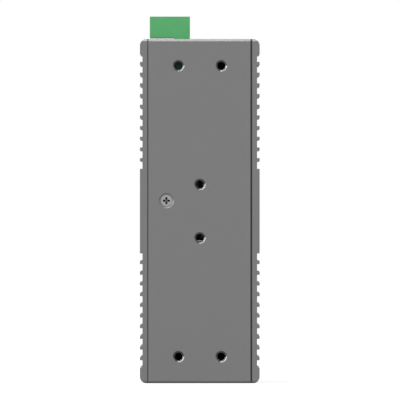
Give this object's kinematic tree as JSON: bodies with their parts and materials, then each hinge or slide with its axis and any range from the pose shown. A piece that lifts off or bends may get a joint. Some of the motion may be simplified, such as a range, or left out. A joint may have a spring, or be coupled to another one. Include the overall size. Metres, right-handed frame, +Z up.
{
  "type": "din rail ethernet switch",
  "caption": "Tall narrow industrial network switch in a ribbed grey metal case, with ports in its front, threaded holes in its rear wall and a green pull-off terminal plug on top.",
  "frame": {"origin": "middle of the base, on its underside", "axes": "+Z up along the case's height, +Y out of the rear mounting wall, -Y out of the front panel, +X to the left seen from behind"},
  "size_m": [0.056, 0.118, 0.1716],
  "materials": {
    "grey_paint": "fine powder coat",
    "green_plastic": "moulded, satin",
    "zinc_steel": "zinc plated",
    "tin_steel": "tin plated sheet",
    "black_plastic": "moulded, fine texture",
    "gold_contact": "gold plated",
    "clear_plastic": "clear moulded",
    "board_laminate": "glass laminate with solder mask",
    "chip_resin": "moulded resin",
    "soft_pad": "soft filled silicone",
    "bare_aluminium": "milled",
    "ferrite": "sintered",
    "capacitor_can": "drawn can",
    "relay_case": "moulded",
    "lamp_resin": "clear resin"
  },
  "bodies": {
    "case": {"rear_frame": "grey_paint", "left_side_cover": "grey_paint", "right_side_cover": "grey_paint", "front_panel": "grey_paint", "front_panel_screws": "zinc_steel", "rear_screw": "zinc_steel", "main_board": "board_laminate", "switch_chip": "chip_resin", "thermal_pad": "soft_pad", "heat_spreader": "bare_aluminium", "lan_transformers": "chip_resin", "control_chips": "chip_resin", "power_inductors": "ferrite", "power_transformer": "ferrite", "capacitors": "capacitor_can", "alarm_relay": "relay_case", "jack_housing": "black_plastic", "jack_shield": "tin_steel", "jack_contacts": "gold_contact", "jack_windows": "clear_plastic", "sfp_cages": "tin_steel", "sfp_connectors": "black_plastic", "light_pipes": "clear_plastic", "board_leds": "lamp_resin", "terminal_header": "green_plastic", "header_pins": "tin_steel"},
    "plug": {"plug_housing": "green_plastic", "plug_clamp_cages": "zinc_steel", "plug_clamp_screws": "zinc_steel", "plug_contacts": "tin_steel"}
  },
  "joints": [
    {"name": "plug_pull", "type": "slide", "parent": "case", "child": "plug", "axis": [0, 0, 1], "range_m": [0, 0.012]}
  ]
}
